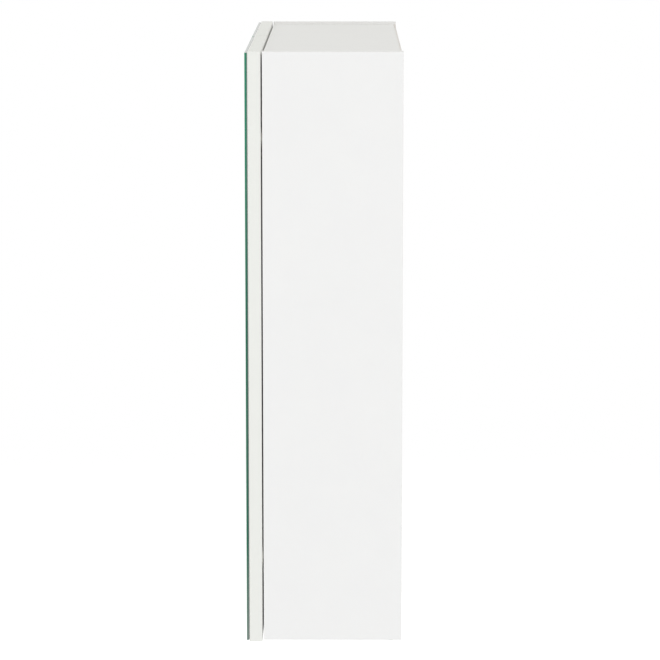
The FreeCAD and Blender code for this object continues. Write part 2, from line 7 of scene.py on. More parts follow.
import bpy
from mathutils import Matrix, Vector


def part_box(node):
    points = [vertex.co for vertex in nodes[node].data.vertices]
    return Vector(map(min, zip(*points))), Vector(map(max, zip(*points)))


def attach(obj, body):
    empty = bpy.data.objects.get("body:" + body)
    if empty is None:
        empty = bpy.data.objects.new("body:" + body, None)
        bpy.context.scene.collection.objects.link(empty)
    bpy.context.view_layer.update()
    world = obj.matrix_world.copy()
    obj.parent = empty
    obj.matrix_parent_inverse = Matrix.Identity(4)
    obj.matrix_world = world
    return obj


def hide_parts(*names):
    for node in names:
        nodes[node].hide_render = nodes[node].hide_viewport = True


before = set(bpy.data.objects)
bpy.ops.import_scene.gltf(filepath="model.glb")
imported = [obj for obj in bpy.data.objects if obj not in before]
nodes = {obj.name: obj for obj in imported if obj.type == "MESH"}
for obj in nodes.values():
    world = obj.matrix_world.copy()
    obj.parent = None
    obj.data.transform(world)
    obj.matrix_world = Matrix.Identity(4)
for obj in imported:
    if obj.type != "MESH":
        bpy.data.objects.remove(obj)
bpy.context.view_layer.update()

# %% Units and colours
import math

import bmesh
import bpy
from mathutils import Matrix, Vector

MM = 0.001


def linear(hex_code):
    """Turn an sRGB hex colour into the linear RGBA that shaders take."""
    channels = [int(hex_code[place:place + 2], 16) / 255 for place in (0, 2, 4)]
    curve = [c / 12.92 if c <= 0.04045 else ((c + 0.055) / 1.055) ** 2.4 for c in channels]
    return (*curve, 1.0)


print("board white in linear light:", [round(c, 3) for c in linear("F1F1F0")])

# %% One way to add a node
def add_node(owner, kind, settings=(), links=()):
    """Add a node to a material or world, with its settings, and link other nodes' sockets into it.

    A setting's name is an input of the node, by name or number, or else one of its properties.
    The setting "stops" fills a colour ramp with (place, hex colour) pairs.
    """
    node = owner.node_tree.nodes.new(kind)
    settings = dict(settings)
    for place, hex_code in settings.pop("stops", ()):
        stops = node.color_ramp.elements
        stop = stops[0] if place == 0 else stops[-1] if place == 1 else stops.new(place)
        stop.color = linear(hex_code)
    for name, value in settings.items():
        if isinstance(name, int) or name in node.inputs:
            node.inputs[name].default_value = value
        else:
            setattr(node, name, value)
    for name, socket in dict(links).items():
        owner.node_tree.links.new(socket, node.inputs[name])
    return node


def new_finish(name, **settings):
    """Start a finish: a material whose one shader holds the settings, such as Metallic=1."""
    finish = bpy.data.materials.new(name)
    finish.use_nodes = True
    shader = finish.node_tree.nodes["Principled BSDF"]
    for key, value in settings.items():
        shader.inputs[key.replace("_", " ")].default_value = value
    place = add_node(finish, "ShaderNodeTexCoord").outputs["Object"]
    return finish, shader, place


def link(owner, socket, target):
    """Link one socket to another, for a shader that exists already."""
    owner.node_tree.links.new(socket, target)


def grain(finish, shader, place, size, detail=3.0, tones=(), gloss=(), relief=()):
    """Vary a surface by one noise whose grains have a size in mm.

    The tones are hex colours from dark to light, gloss is the smoothest and the roughest roughness,
    and relief is a strength and a depth in mm.
    """
    noise = add_node(finish, "ShaderNodeTexNoise", {"Scale": 1 / (size * MM), "Detail": detail},
                     {"Vector": place}).outputs[0]
    if tones:
        stops = [(index / (len(tones) - 1), tone) for index, tone in enumerate(tones)]
        tone = add_node(finish, "ShaderNodeValToRGB", {"stops": stops}, {0: noise})
        link(finish, tone.outputs[0], shader.inputs["Base Color"])
    if gloss:
        shine = add_node(finish, "ShaderNodeMapRange", {"To Min": gloss[0], "To Max": gloss[1]},
                         {"Value": noise})
        link(finish, shine.outputs[0], shader.inputs["Roughness"])
    if relief:
        bump = add_node(finish, "ShaderNodeBump", {"Strength": relief[0], "Distance": relief[1] * MM},
                        {"Height": noise})
        link(finish, bump.outputs[0], shader.inputs["Normal"])


print("finishes are built with add_node, new_finish and grain")

# %% [markdown]
# ## The studio
# A cabinet photographed for a catalogue hangs in an evenly lit white room. A world that is white to
# the eye and a little dimmer as a lamp does most of that: it leaves the soft darkening in gaps, and
# white boards don't burn out. Glass and metal see the same white, which falls to pale grey overhead
# and underfoot, because a mirror in a room without any gradient looks like paint.

# %% World
world = bpy.data.worlds.new("white_room")
bpy.context.scene.world = world
world.use_nodes = True
world.node_tree.nodes.clear()

ray = add_node(world, "ShaderNodeLightPath")
shiny = add_node(world, "ShaderNodeMath", {"operation": "MAXIMUM"},
                 {0: ray.outputs["Is Glossy Ray"], 1: ray.outputs["Is Transmission Ray"]})
direction = add_node(world, "ShaderNodeTexCoord").outputs["Generated"]
height = add_node(world, "ShaderNodeSeparateXYZ", links={0: direction}).outputs["Z"]
level = add_node(world, "ShaderNodeMapRange", {"From Min": -1.0, "From Max": 1.0}, {"Value": height})
room = add_node(world, "ShaderNodeValToRGB", {"stops": [
    (0, "CDD2D3"), (0.36, "E6EAEA"), (0.47, "F9FAFA"), (0.5, "FFFFFF"), (0.57, "FFFFFF"),
    (0.72, "DEE3E4"), (1, "C6CBCD")]}, {0: level.outputs[0]})
lamp = add_node(world, "ShaderNodeBackground", {"Color": linear("FFFDF7"), "Strength": 0.814})
seen = add_node(world, "ShaderNodeBackground", {"Strength": 1.0}, {"Color": room.outputs[0]})
white = add_node(world, "ShaderNodeBackground", {"Color": linear("FFFFFF"), "Strength": 1.0})
reflected = add_node(world, "ShaderNodeMixShader", links={0: shiny.outputs[0], 1: lamp.outputs[0],
                                                          2: seen.outputs[0]})
shown = add_node(world, "ShaderNodeMixShader", links={0: ray.outputs["Is Camera Ray"],
                                                      1: reflected.outputs[0], 2: white.outputs[0]})
add_node(world, "ShaderNodeOutputWorld", links={"Surface": shown.outputs[0]})
print("world lights at", lamp.inputs["Strength"].default_value)

# %% [markdown]
# The floor lies far below, because the cabinet hangs at eye height. It is pale and matt, and a little
# light of its own lifts it to white, so that it still shows a shadow. Towards its rim it fades into
# the white room, so that no mirror shows a horizon, and a camera below it looks through it.

# %% Floor
FLOOR_Z = -1.87
FLOOR_RADIUS = 7.0

painted_floor, floor_shader, floor_place = new_finish("matt_white_floor", Roughness=0.9)
grain(painted_floor, floor_shader, floor_place, 350, tones=("EFF0F2", "F4F5F7"))
floor_shader.inputs["Emission Color"].default_value = linear("FFFFFF")
floor_ray = add_node(painted_floor, "ShaderNodeLightPath")
floor_seen = add_node(painted_floor, "ShaderNodeMath", {"operation": "MAXIMUM"}, {
    0: floor_ray.outputs["Is Camera Ray"], 1: floor_ray.outputs["Is Transmission Ray"]})
floor_mirrored = add_node(painted_floor, "ShaderNodeMath", {"operation": "MULTIPLY", 1: 0.08},
                          {0: floor_ray.outputs["Is Glossy Ray"]})
floor_lift = add_node(painted_floor, "ShaderNodeMath", {"operation": "MULTIPLY_ADD", 1: 0.5},
                      {0: floor_seen.outputs[0], 2: floor_mirrored.outputs[0]})
link(painted_floor, floor_lift.outputs[0], floor_shader.inputs["Emission Strength"])
from_middle = add_node(painted_floor, "ShaderNodeVectorMath", {"operation": "LENGTH"}, {0: floor_place})
fade = add_node(painted_floor, "ShaderNodeMapRange", {
    "interpolation_type": "SMOOTHSTEP", "From Min": 0.5 * FLOOR_RADIUS, "From Max": FLOOR_RADIUS},
    {"Value": from_middle.outputs["Value"]})
from_below = add_node(painted_floor, "ShaderNodeMath", {"operation": "MULTIPLY"}, {
    0: add_node(painted_floor, "ShaderNodeNewGeometry").outputs["Backfacing"],
    1: floor_ray.outputs["Is Camera Ray"]})
gone = add_node(painted_floor, "ShaderNodeMath", {"operation": "MAXIMUM"},
                {0: fade.outputs[0], 1: from_below.outputs[0]})
clear = add_node(painted_floor, "ShaderNodeBsdfTransparent")
floor_end = add_node(painted_floor, "ShaderNodeMixShader", links={
    0: gone.outputs[0], 1: floor_shader.outputs[0], 2: clear.outputs[0]})
floor_out = painted_floor.node_tree.nodes["Material Output"]
link(painted_floor, floor_end.outputs[0], floor_out.inputs["Surface"])

floor_bm = bmesh.new()
bmesh.ops.create_circle(floor_bm, cap_ends=True, segments=96, radius=FLOOR_RADIUS)
bmesh.ops.translate(floor_bm, verts=floor_bm.verts, vec=(0, 0, FLOOR_Z))
floor_mesh = bpy.data.meshes.new("studio_floor")
floor_bm.to_mesh(floor_mesh)
floor_mesh.materials.append(painted_floor)
floor = bpy.data.objects.new("studio_floor", floor_mesh)
bpy.context.scene.collection.objects.link(floor)
print("floor at", FLOOR_Z, "m, faces up:", floor_mesh.polygons[0].normal.z > 0)

# %% [markdown]
# Two large soft lamps stand in for softboxes. They light the near side more than the top, as in the
# photograph. A mirror would show them as hard white squares, so they are hidden from shiny surfaces.

# %% Lamps
def softbox(name, place, size, power):
    """A square area lamp that faces the middle of the cabinet."""
    light = bpy.data.lights.new(name, "AREA")
    light.shape = "SQUARE"
    light.size = size
    light.energy = power
    light.color = linear("EAF0FF")[:3]
    holder = bpy.data.objects.new(name, light)
    holder.location = place
    holder.visible_glossy = False
    aim = Vector((0, -0.1, -0.31)) - Vector(place)
    holder.rotation_euler = aim.to_track_quat("-Z", "Y").to_euler()
    bpy.context.scene.collection.objects.link(holder)


softbox("near_side_softbox", (4.2, 0.1, 0.3), 3.0, 39.3)
softbox("front_softbox", (-2.2, -4.2, 0.8), 3.0, 42.0)
print("2 softboxes")

# %% [markdown]
# ## The camera
# The picture is taken from the cabinet's right, from almost four metres away with a long lens, a
# little above the top. The place, aim and lens were fitted to the corners of the side board and of
# the mirror's edge in the photograph.

# %% Camera
camera_data = bpy.data.cameras.new("catalogue_camera")
camera_data.sensor_width = 36.0
camera_data.lens = 161.96
camera = bpy.data.objects.new("catalogue_camera", camera_data)
camera.location = (3.8208, -0.0675, 0.2947)
aim = Vector((0, -0.0889, -0.3343)) - camera.location
camera.rotation_euler = aim.to_track_quat("-Z", "Y").to_euler()
bpy.context.scene.collection.objects.link(camera)
bpy.context.scene.camera = camera
bpy.context.scene.view_settings.view_transform = "Standard"
print("camera looks down by", round(math.degrees(math.asin(-aim.normalized().z)), 1), "degrees")

# %% [markdown]
# ## Melamine-faced chipboard
# The boards are chipboard with white melamine paper pressed on both faces. The press plate leaves a
# very fine pearl grain, which turns reflections satin. Where a hole goes through the face, the brown
# chips show. One finish does both: it reads how deep a point lies under the board's two faces, and
# anything deeper than the paper is chipboard. A second mesh for each hole would be far more work.
# The hanging strip is wrapped round its long edges too, so it has two pairs of faces.

# %% Melamine-faced chipboard
PAPER = 0.35 * MM
CHIP = 1.8 * MM
PEARL = 2.4             # in mm; the real grain is 1 mm, too fine to show here


def melamine_board(name, *skins):
    """White melamine on a board's faces, and chips between. A skin is an axis and its two faces."""
    finish, shader, place = new_finish(name, IOR=1.5)
    mottle = add_node(finish, "ShaderNodeTexNoise", {"Scale": 1 / (45 * MM), "Detail": 4.0},
                      {"Vector": place})
    paper = add_node(finish, "ShaderNodeValToRGB", {"stops": [(0, "F0F0F0"), (1, "F3F3F2")]},
                     {0: mottle.outputs[0]})
    ragged = add_node(finish, "ShaderNodeTexNoise", {"Scale": 1 / (0.8 * MM), "Detail": 2.0},
                      {"Vector": place})
    shaken = add_node(finish, "ShaderNodeVectorMath", {
        "operation": "MULTIPLY_ADD", 1: (CHIP, CHIP, CHIP)}, {0: ragged.outputs["Color"], 2: place})
    chips = add_node(finish, "ShaderNodeTexVoronoi", {"Scale": 1 / CHIP, "Randomness": 1.0},
                     {"Vector": shaken.outputs[0]})
    chip_shade = add_node(finish, "ShaderNodeSeparateColor", links={0: chips.outputs["Color"]})
    core = add_node(finish, "ShaderNodeValToRGB", {"stops": [
        (0, "93714A"), (0.4, "B08D61"), (0.75, "C6A679"), (1, "D8BF95")]}, {0: chip_shade.outputs[0]})
    parts = add_node(finish, "ShaderNodeSeparateXYZ", links={0: place})
    inside = None
    for axis, low, high in skins:
        along = parts.outputs[axis]
        if axis == "X":
            along = add_node(finish, "ShaderNodeMath", {"operation": "ABSOLUTE"}, {0: along}).outputs[0]
        from_middle = add_node(finish, "ShaderNodeMath", {"operation": "SUBTRACT", 1: (low + high) / 2},
                               {0: along})
        reach = add_node(finish, "ShaderNodeMath", {"operation": "ABSOLUTE"}, {0: from_middle.outputs[0]})
        between = add_node(finish, "ShaderNodeMath", {
            "operation": "LESS_THAN", 1: (high - low) / 2 - PAPER}, {0: reach.outputs[0]}).outputs[0]
        if inside is not None:
            between = add_node(finish, "ShaderNodeMath", {"operation": "MULTIPLY"},
                               {0: inside, 1: between}).outputs[0]
        inside = between
    colour = add_node(finish, "ShaderNodeMix", {"data_type": "RGBA"},
                      {0: inside, 6: paper.outputs[0], 7: core.outputs[0]})
    link(finish, colour.outputs[2], shader.inputs["Base Color"])
    grain(finish, shader, place, PEARL, 2.0, gloss=(0.36, 0.48), relief=(0.25, 0.02))
    return finish


def wear(finish, *names):
    """Give CAD nodes a finish on every material slot they have."""
    for name in names:
        node = nodes[name]
        if not node.material_slots:
            node.data.materials.append(finish)
        for slot in node.material_slots:
            slot.material = finish


def skin(node, axis):
    """The two faces that a board has along an axis."""
    low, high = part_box(node)
    return axis, low["XYZ".index(axis)], high["XYZ".index(axis)]


wear(melamine_board("melamine_side", skin("side_right", "X")), "side_left", "side_right")
wear(melamine_board("melamine_top", skin("top_panel", "Z")), "top_panel")
wear(melamine_board("melamine_bottom", skin("bottom_panel", "Z")), "bottom_panel")
strip_skins = [skin("hanging_strip", axis) for axis in "YZ"]
wear(melamine_board("melamine_strip", *strip_skins), "hanging_strip")
door_skin = skin("door_board_right", "Y")
wear(melamine_board("melamine_door", door_skin), "door_board_left", "door_board_right")
print("7 boards are melamine-faced")

# %% [markdown]
# ## Edge band
# A strip of ABS plastic, 2 mm thick, is glued round each board and its corners are milled round. It
# is smooth, so it is glossier than the board, and the mill leaves it slightly uneven. A clear coat on
# one white would look too perfect beside the board, so one noise clouds the white, and a finer one
# varies the shine and the surface.

# %% Edge band
def edge_band(name, darker, lighter):
    """Smooth ABS plastic, a little uneven where the mill went over it."""
    finish, shader, place = new_finish(name, IOR=1.53)
    grain(finish, shader, place, 30, tones=(darker, lighter))
    grain(finish, shader, place, 5, 1.0, gloss=(0.28, 0.38), relief=(0.2, 0.02))
    return finish


carcass_band = edge_band("ABS_carcass_band", "F0F0EF", "F3F3F2")
wear(carcass_band, "side_band_left", "side_band_right", "panel_bands")
# The doors' band is a little darker and warmer than the carcass band.
wear(edge_band("ABS_door_band", "EBECE8", "EEEFEA"), "door_band_left", "door_band_right")
print("5 edge bands")

# %% [markdown]
# ## Hardboard back
# The back is 3 mm hardboard: wood fibre pressed smooth and lacquered white on the inside, and left
# raw brown on the wall side, where the screen that it was pressed on prints a fine net. Two finishes
# would need the CAD mesh's faces sorted, so one finish asks which way a face points.

# %% Hardboard
FIBRE = 5.0 * MM
SCREEN = 4.0 * MM       # the real net has a mesh every 1.5 mm, too fine to show here

hardboard, back_shader, back_place = new_finish("hardboard", IOR=1.5)
back_normal = add_node(hardboard, "ShaderNodeTexCoord").outputs["Normal"]
back_way = add_node(hardboard, "ShaderNodeSeparateXYZ", links={0: back_normal})
raw = add_node(hardboard, "ShaderNodeMath", {"operation": "GREATER_THAN", 1: 0.5},
               {0: back_way.outputs["Y"]})
lacquer_cloud = add_node(hardboard, "ShaderNodeTexNoise", {"Scale": 1 / (60 * MM), "Detail": 3.0},
                         {"Vector": back_place})
lacquer = add_node(hardboard, "ShaderNodeValToRGB", {"stops": [(0, "ECECEA"), (1, "F0F0EE")]},
                   {0: lacquer_cloud.outputs[0]})
fibre = add_node(hardboard, "ShaderNodeTexNoise", {"Scale": 1 / FIBRE, "Detail": 6.0, "Roughness": 0.7},
                 {"Vector": back_place})
brown = add_node(hardboard, "ShaderNodeValToRGB", {"stops": [
    (0, "71553B"), (0.42, "86694B"), (0.58, "907355"), (1, "A98C69")]}, {0: fibre.outputs[0]})
back_colour = add_node(hardboard, "ShaderNodeMix", {"data_type": "RGBA"},
                       {0: raw.outputs[0], 6: lacquer.outputs[0], 7: brown.outputs[0]})
link(hardboard, back_colour.outputs[2], back_shader.inputs["Base Color"])
back_gloss = add_node(hardboard, "ShaderNodeMapRange", {"To Min": 0.34, "To Max": 0.75},
                      {"Value": raw.outputs[0]})
link(hardboard, back_gloss.outputs[0], back_shader.inputs["Roughness"])
net_across = add_node(hardboard, "ShaderNodeTexWave", {"bands_direction": "X", "Scale": 0.314 / SCREEN},
                      {"Vector": back_place})
net_up = add_node(hardboard, "ShaderNodeTexWave", {"bands_direction": "Z", "Scale": 0.314 / SCREEN},
                  {"Vector": back_place})
net = add_node(hardboard, "ShaderNodeMath", {"operation": "MULTIPLY"},
               {0: net_across.outputs["Fac"], 1: net_up.outputs["Fac"]})
net_raw = add_node(hardboard, "ShaderNodeMath", {"operation": "MULTIPLY"},
                   {0: net.outputs[0], 1: raw.outputs[0]})
back_relief = add_node(hardboard, "ShaderNodeBump", {"Strength": 0.5, "Distance": 0.15 * MM},
                       {"Height": net_raw.outputs[0]})
link(hardboard, back_relief.outputs[0], back_shader.inputs["Normal"])
wear(hardboard, "back_panel")
print("hardboard back")

# %% [markdown]
# ## The mirrors
# Each mirror is a pane of 3 mm float glass, silvered on the back and glued to its door. Seen from
# the side, the edge is what the eye meets: light that has travelled through the whole pane comes out
# green, darkest in the middle of the thickness. A see-through pane with a silver sheet behind it
# would be truer but noisy, so the front is a tinted metal under a clear coat, and that light on the
# edge is painted: a green that is darkest in the middle of the thickness, brighter high up, darker
# lower down and paler near the bottom corner. The edge's upward face is painted grey, a painted shade.

# %% Mirror finishes
pane_low, pane_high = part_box("mirror_right")
pane_thickness = pane_high.y - pane_low.y

silvered, silver_shader, silver_place = new_finish(
    "silvered_float_glass", Metallic=1.0, Roughness=0.0,
    Coat_Weight=1.0, Coat_Roughness=0.0, Coat_IOR=1.52)
grain(silvered, silver_shader, silver_place, 220, 1.0, ("E4EAE7", "E8EDEA"))

green_edge, green_shader, green_place = new_finish(
    "polished_float_glass_edge", IOR=1.52, Specular_IOR_Level=0.3)
edge_parts = add_node(green_edge, "ShaderNodeSeparateXYZ", links={0: green_place})
through = add_node(green_edge, "ShaderNodeMapRange", {"From Min": pane_low.y, "From Max": pane_high.y},
                   {"Value": edge_parts.outputs["Y"]})
# Painted light: across the thickness the green is darkest in the middle, and it is brighter in the top
# 330 mm of the edge than lower down.
upper_green = add_node(green_edge, "ShaderNodeValToRGB", {"stops": [
    (0, "17966C"), (0.25, "1E8F68"), (0.55, "29765E"), (0.8, "46806A"), (1, "8CA898")]},
    {0: through.outputs[0]})
lower_green = add_node(green_edge, "ShaderNodeValToRGB", {"stops": [
    (0, "127250"), (0.25, "186B4D"), (0.55, "245949"), (0.8, "3E6457"), (1, "84998E")]},
    {0: through.outputs[0]})
# Painted light: within 120 mm of the bottom the edge is painted a paler grey-green.
pale = add_node(green_edge, "ShaderNodeValToRGB", {"stops": [
    (0, "7A8F86"), (0.3, "73837C"), (0.6, "6F7C76"), (1, "8F9E97")]}, {0: through.outputs[0]})
downwards = add_node(green_edge, "ShaderNodeMapRange", {
    "From Min": pane_high.z, "From Max": pane_high.z - 330 * MM}, {"Value": edge_parts.outputs["Z"]})
near_corner = add_node(green_edge, "ShaderNodeMapRange", {
    "From Min": pane_low.z, "From Max": pane_low.z + 120 * MM, "To Min": 1.0, "To Max": 0.0},
    {"Value": edge_parts.outputs["Z"]})
along_edge = add_node(green_edge, "ShaderNodeMix", {"data_type": "RGBA"},
                      {0: downwards.outputs[0], 6: upper_green.outputs[0], 7: lower_green.outputs[0]})
edge_colour = add_node(green_edge, "ShaderNodeMix", {"data_type": "RGBA"},
                       {0: near_corner.outputs[0], 6: along_edge.outputs[2], 7: pale.outputs[0]})
edge_normal = add_node(green_edge, "ShaderNodeTexCoord").outputs["Normal"]
edge_way = add_node(green_edge, "ShaderNodeSeparateXYZ", links={0: edge_normal})
# Painted shade: the faces of the edge that point up are painted grey.
faces_up = add_node(green_edge, "ShaderNodeMath", {"operation": "GREATER_THAN", 1: 0.5},
                    {0: edge_way.outputs["Z"]})
painted_grey_top = add_node(green_edge, "ShaderNodeMix", {"data_type": "RGBA", 7: linear("7B7F76")},
                 {0: faces_up.outputs[0], 6: edge_colour.outputs[2]})
link(green_edge, painted_grey_top.outputs[2], green_shader.inputs["Base Color"])
grain(green_edge, green_shader, green_place, 6, gloss=(0.08, 0.2))

ground, ground_shader, ground_place = new_finish("ground_arris", Roughness=0.35, IOR=1.52)
grain(ground, ground_shader, ground_place, 1.2, 2.0, ("74AA94", "8FBFAB"))

backing, backing_shader, backing_place = new_finish("mirror_backing_paint", Roughness=0.55)
grain(backing, backing_shader, backing_place, 8, tones=("8F9692", "9CA39F"))
print("mirror pane is", round(pane_thickness / MM, 2), "mm thick")

# %% [markdown]
# ## From a mesh to a piece
# The right half of the cabinet is modelled and the left half mirrored, which is less work than two
# halves and keeps them alike. A mirrored mesh is inside out, so its faces are turned round again.
# Each finished mesh becomes an object that rides on a body of the CAD model.

# %% Shared mesh tools
def box_between(bm, low, high):
    """Add a box to a mesh from its lowest and highest corner, and return its vertices."""
    middle = Matrix.Translation((Vector(low) + Vector(high)) / 2)
    size = Matrix.Diagonal((Vector(high) - Vector(low)).to_4d())
    return bmesh.ops.create_cube(bm, size=1.0, matrix=middle @ size)["verts"]


def round_edges(bm, edges, radius, segments=2):
    """Round edges by a radius in mm."""
    bmesh.ops.bevel(bm, geom=edges, offset=radius * MM, offset_type="OFFSET", affect="EDGES",
                    segments=segments, profile=0.5, material=-1)


def face_outwards(bm):
    """Turn every face of a mesh outwards."""
    bmesh.ops.recalc_face_normals(bm, faces=bm.faces)


def opposite(bm):
    """A copy of a mesh at the cabinet's other side."""
    copy = bm.copy()
    bmesh.ops.scale(copy, vec=(-1, 1, 1), verts=copy.verts)
    face_outwards(copy)
    return copy


def both_sides(right):
    """A mesh and its mirror image, each with the name of its side."""
    return ("right", right), ("left", opposite(right))


def add_piece(name, bm, body, finishes, replaces):
    """Turn a mesh into a piece that rides on a body, and free the mesh.

    Smooth shading would bend the light on a flat face next to a rounded edge, so large faces lend
    their direction to the rounding beside them.
    """
    mesh = bpy.data.meshes.new(name)
    bm.to_mesh(mesh)
    bm.free()
    for finish in finishes:
        mesh.materials.append(finish)
    mesh.shade_smooth()
    mesh.set_sharp_from_angle(angle=math.radians(35))
    piece = bpy.data.objects.new(name, mesh)
    bpy.context.scene.collection.objects.link(piece)
    flat_faces = piece.modifiers.new("flat_faces", "WEIGHTED_NORMAL")
    flat_faces.keep_sharp = True
    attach(piece, body)
    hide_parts(*replaces)


print("mesh tools ready")

# %% [markdown]
# Each pane is a box whose four front edges are ground off, which is the arris. A Bevel modifier would
# round the rear edges too, so only the front edges go to the bevel operator. The faces then get their
# finish by the way they point.

# %% Mirror panes
ARRIS = 0.3


def mirror_pane(low, high):
    """A pane with ground front edges. Material 0 is silver, 1 the edge, 2 the arris and 3 the back."""
    bm = bmesh.new()
    box_between(bm, low, high)
    front = [edge for edge in bm.edges if all(abs(v.co.y - low.y) < 1e-6 for v in edge.verts)]
    round_edges(bm, front, ARRIS)
    face_outwards(bm)
    for face in bm.faces:
        if face.normal.y < -0.99:
            face.material_index = 0
        elif face.normal.y > 0.99:
            face.material_index = 3
        elif face.normal.y < -0.05:
            face.material_index = 2
        else:
            face.material_index = 1
    return bm


mirror_finishes = [silvered, green_edge, ground, backing]
for side_name, pane in both_sides(mirror_pane(pane_low, pane_high)):
    add_piece("mirror_pane_" + side_name, pane, "door_" + side_name,
              mirror_finishes, ["mirror_" + side_name])
print("2 mirrors")

# %% [markdown]
# Behind each mirror lies a thin film of mounting adhesive, which keeps 12 mm away from the edge. Only
# its rim can be seen, deep in the narrow slit, so the CAD solid stays and gets a milky finish.

# %% Adhesive film
adhesive, adhesive_shader, adhesive_place = new_finish("acrylic_adhesive_film", Roughness=0.5)
grain(adhesive, adhesive_shader, adhesive_place, 12, tones=("D6D6D0", "E0E0DA"))
wear(adhesive, "mirror_film_left", "mirror_film_right")
print("2 films")

# %% [markdown]
# ## Glass shelves
# The shelves are 6 mm clear float glass with finely ground edges. Iron in the glass tints long light
# paths green, so the faces look clear and the edges green. The faces let light through, and the
# volume absorbs a little of it. Light that is caught between the faces would bounce more often than
# a renderer follows it, and go black, so the green of that light is painted into the ground rim's
# milky surface.

# %% Glass shelves
clear_glass, clear_shader, clear_place = new_finish(
    "clear_float_glass", Base_Color=linear("FAFDFB"), Transmission_Weight=1.0, IOR=1.52)
grain(clear_glass, clear_shader, clear_place, 70, 2.0, gloss=(0.0, 0.02))
iron = add_node(clear_glass, "ShaderNodeVolumeAbsorption", {"Color": linear("6FC4A0"), "Density": 3.5})
clear_out = clear_glass.node_tree.nodes["Material Output"]
link(clear_glass, iron.outputs[0], clear_out.inputs["Volume"])

# Painted light: the rim's green stands in for light that has passed through the glass.
ground_glass, rim_shader, rim_place = new_finish("ground_glass_rim", Transmission_Weight=0.2, IOR=1.52)
grain(ground_glass, rim_shader, rim_place, 2, tones=("7DB8A0", "97CBB6"), gloss=(0.25, 0.42))


def glass_shelf(node):
    """A shelf with a ground rim and arrises. Material 0 is the clear faces and 1 the rim."""
    low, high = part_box(node)
    bm = bmesh.new()
    box_between(bm, low, high)
    round_edges(bm, bm.edges[:], 0.5)
    face_outwards(bm)
    for face in bm.faces:
        face.material_index = 0 if abs(face.normal.z) > 0.99 else 1
    return bm


for level_name in ("lower", "upper"):
    shelf_name = "shelf_" + level_name
    add_piece("glass_" + shelf_name, glass_shelf(shelf_name), shelf_name,
              [clear_glass, ground_glass], [shelf_name])
print("2 glass shelves")

# %% [markdown]
# ## Small metal and plastic parts
# Hinges, screws, pins and caps are what you meet when the doors open. Most of them are turned or
# pressed, so most are made here with two moves: a profile that is spun round an axis, and a strip
# that is bent run by run, as a press bends it, and then given the thickness of its sheet.

# %% Tools for turned and pressed parts
def stand(bm, place, towards):
    """Stand a mesh on a place in mm, with its Z axis towards a direction."""
    turn = Vector(towards).to_track_quat("Z", "Y").to_matrix().to_4x4()
    bmesh.ops.transform(bm, matrix=Matrix.Translation(Vector(place) * MM) @ turn, verts=bm.verts)


def turned(profile, place=(0, 0, 0), towards=(0, 0, 1), steps=32):
    """Spin a profile of (radius, distance) pairs in mm round an axis that starts at a place in mm."""
    bm = bmesh.new()
    points = [bm.verts.new((radius * MM, 0, along * MM)) for radius, along in profile]
    for start, end in zip(points, points[1:]):
        bm.edges.new((start, end))
    bmesh.ops.spin(bm, geom=bm.verts[:] + bm.edges[:], cent=(0, 0, 0), axis=(0, 0, 1),
                   angle=math.tau, steps=steps, use_merge=True)
    bmesh.ops.remove_doubles(bm, verts=bm.verts, dist=1e-6)
    face_outwards(bm)
    stand(bm, place, towards)
    return bm


def gathered(meshes):
    """Put several meshes into one and free them."""
    whole = bmesh.new()
    for bm in meshes:
        part = bpy.data.meshes.new("part")
        bm.to_mesh(part)
        bm.free()
        whole.from_mesh(part)
        bpy.data.meshes.remove(part)
    return whole


def moved(bm, by):
    """A copy of a mesh, moved by a distance in mm."""
    copy = bm.copy()
    bmesh.ops.translate(copy, vec=Vector(by) * MM, verts=copy.verts)
    return copy


def rounded_block(low, high, upright, radius, rim, axis):
    """A box in mm whose four edges along an axis are rounded by one radius, and the rest by rim."""
    bm = bmesh.new()
    box_between(bm, Vector(low) * MM, Vector(high) * MM)
    corners = [e for e in bm.edges if abs((e.verts[0].co - e.verts[1].co).normalized()[axis]) > 0.99]
    round_edges(bm, corners, radius, upright)
    flat = [f for f in bm.faces if abs(f.normal[axis]) > 0.99]
    round_edges(bm, list({e for f in flat for e in f.edges}), rim)
    face_outwards(bm)
    return bm


def given_thickness(bm, sheet, rim):
    """Give a bare surface the thickness of its sheet in mm, with its edges broken by rim."""
    blank_mesh = bpy.data.meshes.new("blank")
    bm.to_mesh(blank_mesh)
    bm.free()
    blank = bpy.data.objects.new("blank", blank_mesh)
    bpy.context.scene.collection.objects.link(blank)
    thickness = blank.modifiers.new("thickness", "SOLIDIFY")
    thickness.thickness = sheet * MM
    thickness.offset = 0
    thickness.use_even_offset = True
    rounding = blank.modifiers.new("rim", "BEVEL")
    rounding.width = rim * MM
    rounding.segments = 2
    rounding.limit_method = "ANGLE"
    rounding.angle_limit = math.radians(50)
    solid = bmesh.new()
    solid.from_object(blank, bpy.context.evaluated_depsgraph_get())
    bpy.data.objects.remove(blank)
    bpy.data.meshes.remove(blank_mesh)
    face_outwards(solid)
    return solid


print("tools for turned and pressed parts ready")

# %% [markdown]
# ## Finishes of the metal parts
# The hinges are steel, pressed and nickel-plated: bright, faintly warm, with the fine lines of the
# rolled sheet. The screws are zinc-plated and passivated, which is greyer and a touch blue. The shelf
# pins and cams are zinc castings, duller and slightly grainy, and the nails bare bright wire. A flat
# metal looks like chrome, and scratches drawn one by one can't be seen at this size, so in each of
# them one fine pattern breaks up the colour and the shine.

# %% Metals
def metal(name, size, tones, gloss, stretch=(1, 1, 1)):
    """A metal whose colour, shine and surface follow grains of a size in mm, stretched by rolling."""
    finish, shader, place = new_finish(name, Metallic=1.0)
    rolled = add_node(finish, "ShaderNodeMapping", {"Scale": stretch}, {"Vector": place})
    grain(finish, shader, rolled.outputs[0], size, 4.0, tones, gloss, relief=(0.15, 0.01))
    return finish


